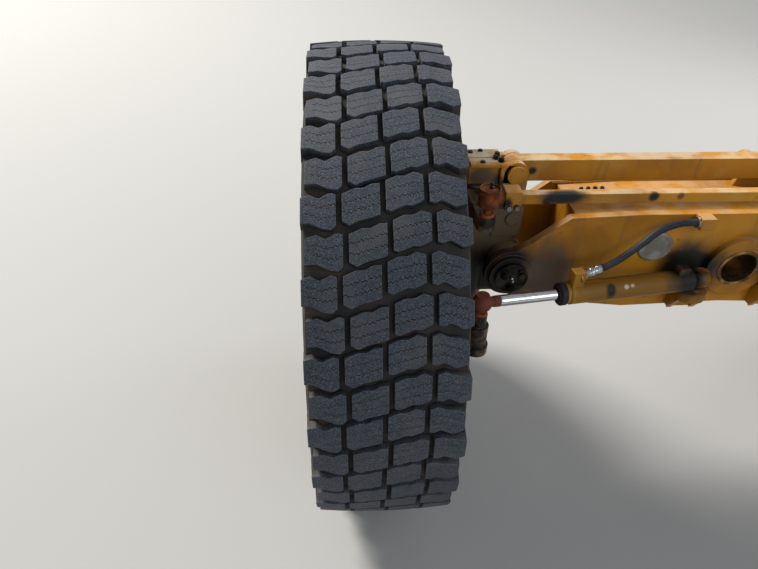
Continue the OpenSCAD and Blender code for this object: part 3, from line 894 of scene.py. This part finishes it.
# %% Bolts in their places
NUTS = 12
NUT_CIRCLE = 0.135
NUT = (0.030, 0.020, 0.012)
DISC_FACE = 1.096
HUB_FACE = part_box("hub_right")[1].x
SCREWS = 6
SCREW_CIRCLE = 0.052
SCREW = (0.013, 0.007, 0)
PIN_HEAD = Vector((LEAN_X, round(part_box("lean_pin_right")[0].y, 4), LEAN_PIN.z))
PIN_BOLTS = 3
PIN_CIRCLE = 0.029
PIN_BOLT = (0.018, 0.011, 0)
CAP_TOP = round(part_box("yoke_right")[1].z, 4)
GAP_BOLT = (0.013, 0.008, 0)
GAP_BOLTS = ((0.714, 0.027), (0.722, 0.007), (0.710, -0.010))
FLAT_BOLT = (0.011, 0.003, 0)
FLAT_BOLTS = ((0.761, -0.014), (0.785, 0.049), (0.755, 0.058))
ROW_BOLTS = 4
ROW_BOLT = (0.010, 0.004, 0)
ROW_START = (0.377, 0.050)
ROW_STEP = 0.021
CLAMP_BOLT = (0.013, 0.008, 0)
CLAMP_NUT = (0.013, 0.009, 0.005)
CLAMP_BOLTS = (0.703, 0.724)
CLAMP_DROP = 0.0165
CLAMP_HALF = (0.023, 0.025)
UP, BACK, AHEAD = (0, 0, 1), (0, -1, 0), (0, 1, 0)


def circle(count, radius, turn=0.0):
    """Even steps round a circle, the first one a share of their spacing on."""
    angles = [2 * math.pi * (number + turn) / count for number in range(count)]
    return [(radius * math.cos(angle), radius * math.sin(angle)) for angle in angles]


beam_rows, clamp_rows = [], []
for name, side in SIDES.items():
    outboard = (side, 0, 0)
    wheel_rows = [(*NUT, (side * DISC_FACE, y, WHEEL_Z + z), outboard)
                  for z, y in circle(NUTS, NUT_CIRCLE)]
    wheel_rows += [(*SCREW, (side * HUB_FACE, y, WHEEL_Z + z), outboard)
                   for z, y in circle(SCREWS, SCREW_CIRCLE, 0.5)]
    fasten("wheel_nuts_" + name, "wheel_" + name, wheel_rows, rusted)

    cap_rows = [(*GAP_BOLT, (side * x, y, CAP_TOP), UP) for x, y in GAP_BOLTS]
    cap_rows += [(*FLAT_BOLT, (side * x, y, CAP_TOP), UP) for x, y in FLAT_BOLTS]
    fasten("yoke_bolts_" + name, "yoke_" + name, cap_rows, greasy_steel)

    head = on_side(side, PIN_HEAD)
    beam_rows += [(*PIN_BOLT, head + Vector((x, 0, z)), BACK)
                  for x, z in circle(PIN_BOLTS, PIN_CIRCLE, 0.25)]
    for number in range(ROW_BOLTS):
        x = ROW_START[0] + ROW_STEP * number
        top = TOP_PLATE - TOP_SLOPE * (x - SLOPE_START)
        beam_rows.append((*ROW_BOLT, (side * x, ROW_START[1], top), UP))
    for x in CLAMP_BOLTS:
        at = (side * x, ROD.y - CLAMP_HALF[0], ROD.z - CLAMP_DROP)
        clamp_rows.append((*CLAMP_BOLT, at, BACK))
        at = (side * x, ROD.y + CLAMP_HALF[0], ROD.z - CLAMP_DROP)
        clamp_rows.append((*CLAMP_NUT, at, AHEAD))
fasten("beam_bolts", "beam", beam_rows, greasy_steel)
fasten("clamp_bolts", "tie_rod", clamp_rows, worn_steel)
print("bolts:", len(beam_rows), "on the beam,", NUTS, "nuts a wheel")

# %% [markdown]
# ## Turned fittings
# A grease nipple, the cup's cover, the ram's gland and the hose's crimp are all turned
# parts. Stacked cylinders would leave hidden faces, so the helper that spun the tyre makes
# them too: an outline is drawn along the X axis, spun, and then turned to its place.

# %% Turned fittings
def fitting(outline, place, direction, steps=24):
    """A turned piece. Its outline runs along a direction, from a place."""
    made = turned("fitting", outline, (0, 0, 0), steps)
    made.data.transform(facing(place, direction, "X", "Z"))
    return smooth(made, 32)


def block(low, high, chamfer):
    """A machined block between two corners, with its edges broken."""
    deselect()
    low, high = Vector(low), Vector(high)
    bpy.ops.mesh.primitive_cube_add(size=1, location=(low + high) / 2, scale=high - low)
    made = settle(bpy.context.object)
    return modify(made, "BEVEL", width=chamfer, segments=2)


NIPPLE = [(0.0001, 0), (0.0055, 0), (0.0055, 0.005), (0.0030, 0.007), (0.0030, 0.011),
          (0.0040, 0.013), (0.0030, 0.016), (0.0001, 0.0165)]
COVER_CAP = [(0.0001, 0.0005), (0.0224, 0.0005), (0.0224, 0.0030), (0.0205, 0.0036),
             (0.0190, 0.0020), (0.0120, 0.0018), (0.0105, 0.0030), (0.0001, 0.0034)]
KING_CAP = [(0.0001, 0), (0.029, 0), (0.029, 0.004), (0.024, 0.009), (0.0001, 0.010)]
NIPPLE_SEAT = 0.009
NIPPLE_STEP = (-0.004, 0.006, 0.003)
CUP_FLOOR = Vector((0, 0, 0.020))
KING_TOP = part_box("steer_arm_left")[1].z

tie_covers, tie_nipples = [], []
for side in SIDES.values():
    cup_middle = on_side(side, TIE_BALL) + CUP_FLOOR
    tie_covers.append(fitting(COVER_CAP, cup_middle, UP, 32))
    tie_nipples.append(fitting(NIPPLE, cup_middle + on_side(side, NIPPLE_STEP), UP))
dress(join(tie_covers), "cup_covers", "tie_rod", rusted)
dress(join(tie_nipples), "cup_nipples", "tie_rod", greasy_steel)

for name, side in SIDES.items():
    oiler = fitting(NIPPLE, on_side(side, PIN_HEAD), BACK)
    dress(oiler, "pin_nipple_" + name, "beam", zinc)
    cap = fitting(KING_CAP, (side * KING_X, 0, KING_TOP), UP, 32)
    oiler = fitting(NIPPLE, (side * KING_X, 0, KING_TOP + NIPPLE_SEAT), UP)
    dress(join([cap, oiler]), "king_cap_" + name, "spindle_" + name, worn_steel)
print("grease nipples:", 3 * len(SIDES))

# %% [markdown]
# ## The tie rod
# The rod is a slim square bar. A clamp at each end grips the round neck of a rusty ball cup.
# The cup is turned, with a rim, a sunk cover and a hollow below for the ball. The bar and
# the clamps are blocks with broken edges, and the bolts above already close the clamps. The
# CAD model's rod is nearly twice as thick, so these pieces take the place of its nodes.

# %% The tie rod and its cups
ROD_HALF = 0.014
CLAMP_X = (0.692, 0.735)
CUP = [(0.0001, 0.0160), (0.0120, 0.0130), (0.0172, 0.0030), (0.0172, -0.0040),
       (0.0165, -0.0222), (0.0262, -0.0222), (0.0280, -0.0200), (0.0280, 0.0190),
       (0.0268, 0.0205), (0.0268, 0.0218), (0.0280, 0.0228), (0.0280, 0.0262),
       (0.0272, 0.0269), (0.0248, 0.0269), (0.0240, 0.0262), (0.0240, 0.0200),
       (0.0001, 0.0200)]
NECK = [(0.0001, 0.0220), (0.0172, 0.0220), (0.0172, 0.0290), (0.0186, 0.0310),
        (0.0186, 0.0340), (0.0172, 0.0360), (0.0172, 0.0660), (0.0001, 0.0660)]


def side_block(side, x_range, y_range, z_range, chamfer=0.002):
    """A block given by its ranges on the right side, put on one side."""
    low_x, high_x = sorted(side * x for x in x_range)
    return block((low_x, y_range[0], z_range[0]), (high_x, y_range[1], z_range[1]), chamfer)


def around(value, half):
    return value - half, value + half


rod_end = CLAMP_X[0] + 0.001
parts = [side_block(1, (-rod_end, rod_end), around(ROD.y, ROD_HALF), around(ROD.z, ROD_HALF),
                    0.0025)]
for side in SIDES.values():
    parts.append(side_block(side, CLAMP_X, around(ROD.y, CLAMP_HALF[0]),
                            around(ROD.z, CLAMP_HALF[1]), 0.003))
tie_bar = dress(join(parts), "tie_bar", "tie_rod", tie_paint)
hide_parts("tie_rod")
for name, side in SIDES.items():
    ball = on_side(side, TIE_BALL)
    parts = [fitting(CUP, ball, UP, 40), fitting(NECK, ball, (-side, 0, 0), 32)]
    cup = dress(join(parts), "tie_cup_" + name, "tie_rod", rusted)
    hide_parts("tie_end_" + name)
print("tie rod:", len(tie_bar.data.polygons), "faces")

# %% [markdown]
# ## The yokes' caps and the beam's covers
# Beside the end of the lean bar stands a block under two bolted plates, joined to the
# yoke's cheeks by two arms. A square plate with a disc covers the yoke's rear, and a round
# cover closes a hole in the beam's rear web. One block could be cut to shape, but the seams
# between real plates show, so blocks and turned discs are joined.

# %% Caps and covers
CAP_X = (0.706, 0.796)
CAP_Y = (-0.010, 0.0673)
CAP_Z = (0.212, 0.272)
ARM_X = (LEAN_X, 0.710)
ARM_Z = (0.219, 0.275)
CHEEKS = ((-0.0223, -0.0003), (0.0453, 0.0673))
TOP_X = (0.702, 0.797)
TOP_Z = (0.271, CAP_TOP)
TOP_PLATES = ((-0.0300, 0.0140), (0.0175, 0.0700))
REAR_PLATE = ((0.634, 0.718), (-0.046, -0.020), (0.060, 0.152))
DISC_PLACE = (0.663, -0.0455, 0.120)
DISC = [(0.0001, 0), (0.0200, 0), (0.0200, 0.0050), (0.0185, 0.0062), (0.0001, 0.0062)]
COVER_PLACE = (0.261, -0.1195, 0.069)
COVER = [(0.0001, 0), (0.0480, 0), (0.0480, 0.0060), (0.0455, 0.0082), (0.0380, 0.0082),
         (0.0365, 0.0070), (0.0001, 0.0070)]

for name, side in SIDES.items():
    parts = [side_block(side, CAP_X, CAP_Y, CAP_Z)]
    parts += [side_block(side, ARM_X, cheek, ARM_Z) for cheek in CHEEKS]
    parts += [side_block(side, TOP_X, plate, TOP_Z) for plate in TOP_PLATES]
    dress(join(parts), "yoke_cap_" + name, "yoke_" + name, cap_paint)
    parts = [side_block(side, *REAR_PLATE), fitting(DISC, on_side(side, DISC_PLACE), BACK, 32)]
    dress(join(parts), "yoke_plate_" + name, "yoke_" + name, yoke_paint)
    cover = fitting(COVER, on_side(side, COVER_PLACE), BACK, 48)
    dress(cover, "beam_cover_" + name, "beam", cover_steel)
print("yoke cap:", len(TOP_PLATES) + len(CHEEKS) + 1, "blocks")

# %% [markdown]
# The ram's rod leaves the barrel through a black gland. A thick rubber ring stands a little
# proud of the barrel's end, so that it reads as a dark rim, as it does in the photo.

# %% Glands
BARREL_END = 0.434
GLAND = [(0.0163, 0.0), (0.0163, 0.007), (0.0185, 0.0085), (0.0245, 0.0085),
         (0.0262, 0.0055), (0.0300, 0.0050), (0.0325, 0.002), (0.0325, -0.012),
         (0.0315, -0.0135), (0.0292, -0.0135), (0.0292, 0.0)]
LEAN_BARREL_END = 0.380
LEAN_GLAND = [(0.0183, 0.0), (0.0183, 0.006), (0.0205, 0.0075), (0.0290, 0.0075),
              (0.0345, 0.003), (0.0345, 0.0)]
gland_rubber = metal("gland_rubber", (0.016, 0.015, 0.015), (0.030, 0.026, 0.022), 0.45, 0.5,
                     0.0)
ram_way = {}
for name, side in SIDES.items():
    start, end = on_side(side, RAM_ANCHOR), on_side(side, RAM_EYE)
    ram_way[name] = (end - start).normalized()
    gland = fitting(GLAND, start + ram_way[name] * BARREL_END, ram_way[name], 40)
    dress(gland, "gland_" + name, "ram_barrel_" + name, gland_rubber)
lean_way = (LEAN_EYE - LEAN_ANCHOR).normalized()
gland = fitting(LEAN_GLAND, LEAN_ANCHOR + lean_way * LEAN_BARREL_END, lean_way, 40)
dress(gland, "lean_gland", "lean_barrel", gland_rubber)
print("steering ram, pin to pin:", round((end - start).length, 4))

# %% [markdown]
# ## The hoses
# A pressure hose is a stiff rubber tube. It leaves its crimped sleeve straight, climbs along
# the beam and levels out into a block on the rear web, just under the web's top edge. A
# path over that edge would be in the tie rod's way at the joints' limits. The route is a
# short list of points, and a curve with a round bevel smooths them. The fittings at its low
# end ride on the barrel, and the collar at its high end rides on the anchor's ball. The hose
# itself rides on no body.

# %% A tube along points
def tube(name, points, radius, resolution=5, widths=None, degrees=50):
    """A curve with a bevel, made a mesh. With widths, its knots are corners."""
    data = bpy.data.curves.new(name, "CURVE")
    data.dimensions = "3D"
    data.resolution_u = 4
    data.bevel_depth = radius
    data.bevel_resolution = resolution
    data.use_fill_caps = True
    line = data.splines.new("POLY" if widths else "BEZIER")
    knots = line.points if widths else line.bezier_points
    knots.add(len(points) - 1)
    for index, (knot, point) in enumerate(zip(knots, points)):
        if widths:
            knot.co = (*point, 1)
            knot.radius = widths[index]
        else:
            knot.co = point
            knot.handle_left_type = knot.handle_right_type = "AUTO"
    made = bpy.data.objects.new(name, data)
    bpy.context.scene.collection.objects.link(made)
    work_on(made)
    bpy.ops.object.convert(target="MESH")
    return smooth(outward(bpy.context.object), degrees)


# %% [markdown]
# The low end needs its fittings: a port block on the barrel, a pipe out of it, a nut, and
# the crimped sleeve that holds the hose. They are placed in line with its first two points.

# %% Hoses
HOSE_POINTS = [
    (0.442, -0.198, 0.050), (0.424, -0.193, 0.054), (0.404, -0.187, 0.061),
    (0.384, -0.181, 0.071), (0.362, -0.175, 0.085), (0.341, -0.170, 0.101),
    (0.320, -0.165, 0.117), (0.298, -0.157, 0.133), (0.275, -0.151, 0.145),
    (0.251, -0.147, 0.153), (0.228, -0.144, 0.158), (0.206, -0.1425, 0.160),
    (0.188, -0.1425, 0.160), (0.170, -0.1425, 0.160)]
HOSE_R = 0.010
PORT = ((0.376, -0.015, 0.020), (0.410, 0.015, 0.076))
BASE_PORT = ((0.052, -0.014, 0.020), (0.086, 0.014, 0.050))
PIPE_FROM, PIPE_TO = 0.050, 0.072
PIPE_R = 0.011
HOSE_NUT = (0.026, 0.014)
NUT_AT = 0.066
STAND = ((0.138, 0.178), (-0.160, -WEB_FACE), (0.142, 0.178))
COLLAR_PLACE = (0.1782, -0.1425, 0.160)
CRIMP = [(0.0102, -0.052), (0.0135, -0.052), (0.0135, -0.047), (0.0125, -0.045),
         (0.0125, -0.034), (0.0142, -0.032), (0.0142, -0.024), (0.0126, -0.022),
         (0.0126, -0.014), (0.0142, -0.012), (0.0142, -0.003), (0.0132, 0.0), (0.0102, 0.0)]
COLLAR = [(0.0103, -0.004), (0.0150, -0.004), (0.0160, -0.002), (0.0160, 0.006),
          (0.0103, 0.006)]
hose_cover = metal("hose_cover", (0.014, 0.016, 0.022), (0.034, 0.036, 0.042), 0.42, 0.5, 0.0,
                   0.0004)
brass = metal("brass_fitting", (0.52, 0.33, 0.09), (0.20, 0.11, 0.035), 0.34, 0.55)

for name, side in SIDES.items():
    barrel = "ram_barrel_" + name
    points = [on_side(side, point) for point in HOSE_POINTS]
    hose = tube("hose_skin_" + name, points, HOSE_R)
    hose.data.materials.clear()
    hose.data.materials.append(hose_cover)
    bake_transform(hose)

    back = (points[0] - points[1]).normalized()
    sleeve = fitting(CRIMP, points[0], -back, 28)
    dress(sleeve, "crimp_" + name, barrel, zinc)
    ports = join([block(*PORT, 0.002), block(*BASE_PORT, 0.002)])
    ports.data.transform(facing(on_side(side, RAM_ANCHOR), ram_way[name], "X", "Z"))
    dress(ports, "ports_" + name, barrel, ram_paint)
    pipe = tube("pipe", [points[0] + back * PIPE_FROM, points[0] + back * PIPE_TO], PIPE_R, 3)
    dress(pipe, "port_pipe_" + name, barrel, zinc)
    nut = hexagon(*HOSE_NUT)
    nut.data.transform(facing(points[0] + back * NUT_AT, -back))
    dress(nut, "port_nut_" + name, barrel, brass)

    stand = side_block(side, *STAND, 0.003)
    dress(stand, "hose_stand_" + name, "beam", beam_paint)
    collar = fitting(COLLAR, on_side(side, COLLAR_PLACE), (side, 0, 0), 28)
    dress(collar, "block_collar_" + name, "anchor_ball_" + name, zinc)
print("hose:", len(hose.data.polygons), "faces")

# %% [markdown]
# ## Welds
# The beam is welded up from plates. A weld bead is a row of small overlapping scales, so
# the tube along the seam swells and shrinks a little at each step.

# %% Welds
BEAD_RADIUS = 0.004
BEAD_STEP = 0.007
BEAD_WIDTHS = (0.88, 1.12)
WEB_IN = 0.095
SEAM_END = (0.515, 0.158)
PIN_SEAM = 0.064
PIN_SEAM_STEPS = 48


def bead(seam):
    """A bead along the corners of a seam, wide and narrow by turns."""
    points = [seam[0]]
    for a, b in zip(seam, seam[1:]):
        pieces = max(1, round((b - a).length / BEAD_STEP))
        points += [a.lerp(b, (number + 1) / pieces) for number in range(pieces)]
    widths = [BEAD_WIDTHS[number % 2] for number in range(len(points))]
    return tube("bead", points, BEAD_RADIUS, 1, widths, 60)


seams = []
for side in SIDES.values():
    for y in (-WEB_IN, WEB_IN):
        seams.append([Vector((0, y, TOP_PLATE)), Vector((side * SLOPE_START, y, TOP_PLATE)),
                      Vector((side * SEAM_END[0], y, SEAM_END[1]))])
    for y in (-WEB_FACE, WEB_FACE):
        steps = circle(PIN_SEAM_STEPS, PIN_SEAM)
        seams.append([Vector((side * LEAN_X + x, y, LEAN_PIN.z + z))
                      for x, z in steps + steps[:1]])
welds = dress(join([bead(seam) for seam in seams]), "beam_welds", "beam", beam_paint)
print("welds:", len(seams), "seams,", len(welds.data.polygons), "faces")
